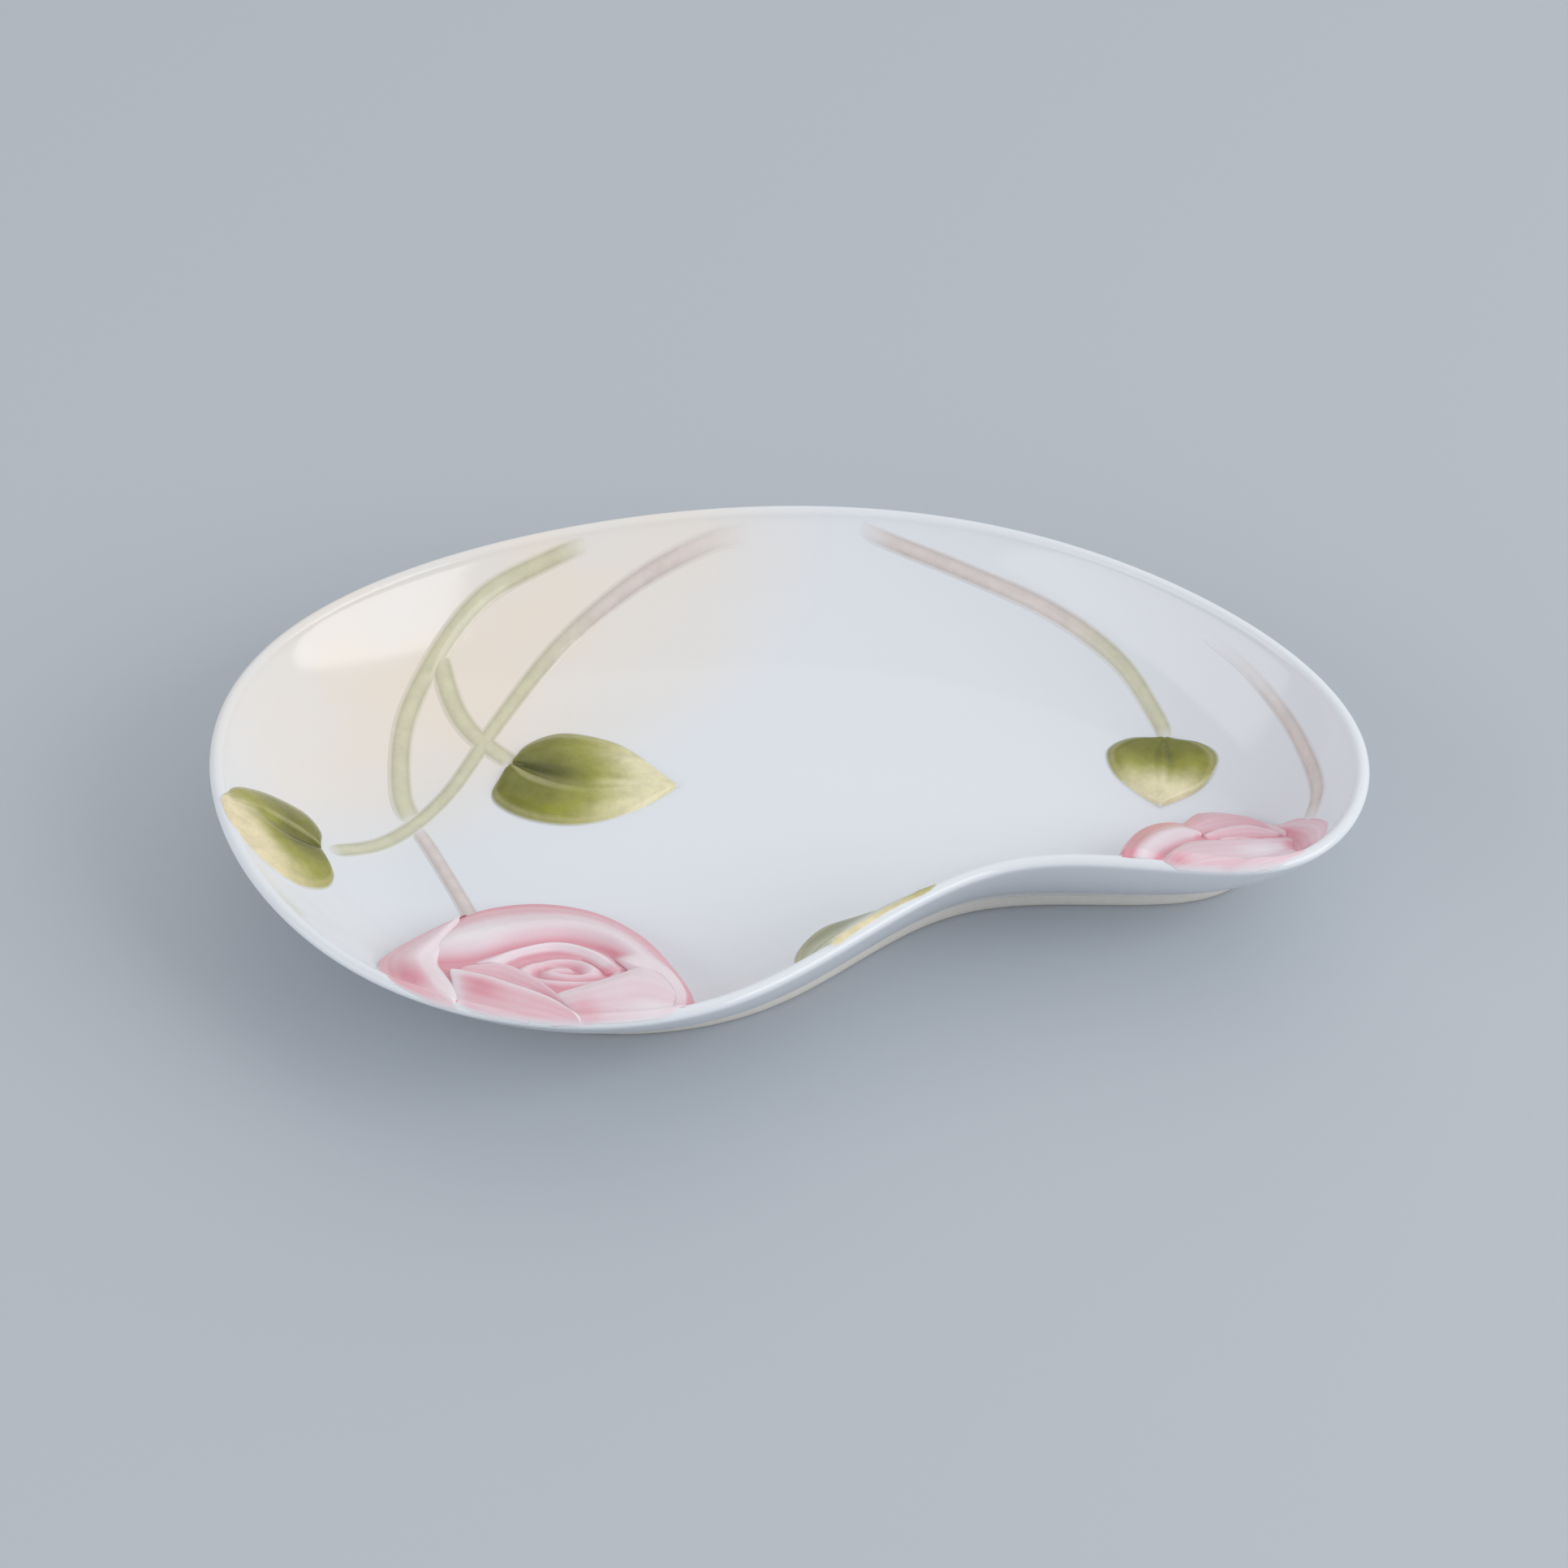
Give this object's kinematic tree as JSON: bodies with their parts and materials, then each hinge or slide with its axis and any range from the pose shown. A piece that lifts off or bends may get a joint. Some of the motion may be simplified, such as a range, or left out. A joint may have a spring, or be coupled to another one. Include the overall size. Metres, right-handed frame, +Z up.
{
  "type": "saucer",
  "caption": "Kidney-shaped glazed porcelain saucer with a rounded lip, a low foot ring and applied roses, leaves and stems, for holding small items.",
  "frame": {"origin": "centre of the footprint, on the surface that the saucer stands on", "axes": "+X along the length towards the narrow end, +Y away from the notched side, +Z up"},
  "size_m": [0.14, 0.0926, 0.0197],
  "materials": {
    "white_glaze": "clear gloss glaze over white porcelain",
    "bare_biscuit": "unglazed, fine and matt",
    "stem_green": "pale sage green under gloss glaze, soft edges",
    "stem_brown": "pale mauve brown under gloss glaze, soft edges",
    "leaf_green": "olive green fading to yellow at the tip, gloss glaze",
    "petal_pink": "pale pink with deeper pink in the folds, gloss glaze"
  },
  "bodies": {
    "root": {"dish": "white_glaze", "foot_ring": "bare_biscuit", "stem_long": "stem_green", "stem_arc": "stem_green", "stem_leaf": "stem_green", "stem_rose": "stem_brown", "stem_back": "stem_brown", "stem_side": "stem_brown", "leaf_left": "leaf_green", "leaf_centre": "leaf_green", "leaf_right": "leaf_green", "leaf_notch": "leaf_green", "rose_large_right_petal": "petal_pink", "rose_large_back_petal": "petal_pink", "rose_large_left_petal": "petal_pink", "rose_large_front_petal": "petal_pink", "rose_large_inner_back_petal": "petal_pink", "rose_large_inner_front_petal": "petal_pink", "rose_large_heart": "petal_pink", "rose_small_right_petal": "petal_pink", "rose_small_back_petal": "petal_pink", "rose_small_left_petal": "petal_pink", "rose_small_front_petal": "petal_pink", "rose_small_inner_back_petal": "petal_pink", "rose_small_inner_front_petal": "petal_pink", "rose_small_heart": "petal_pink"}
  },
  "joints": []
}
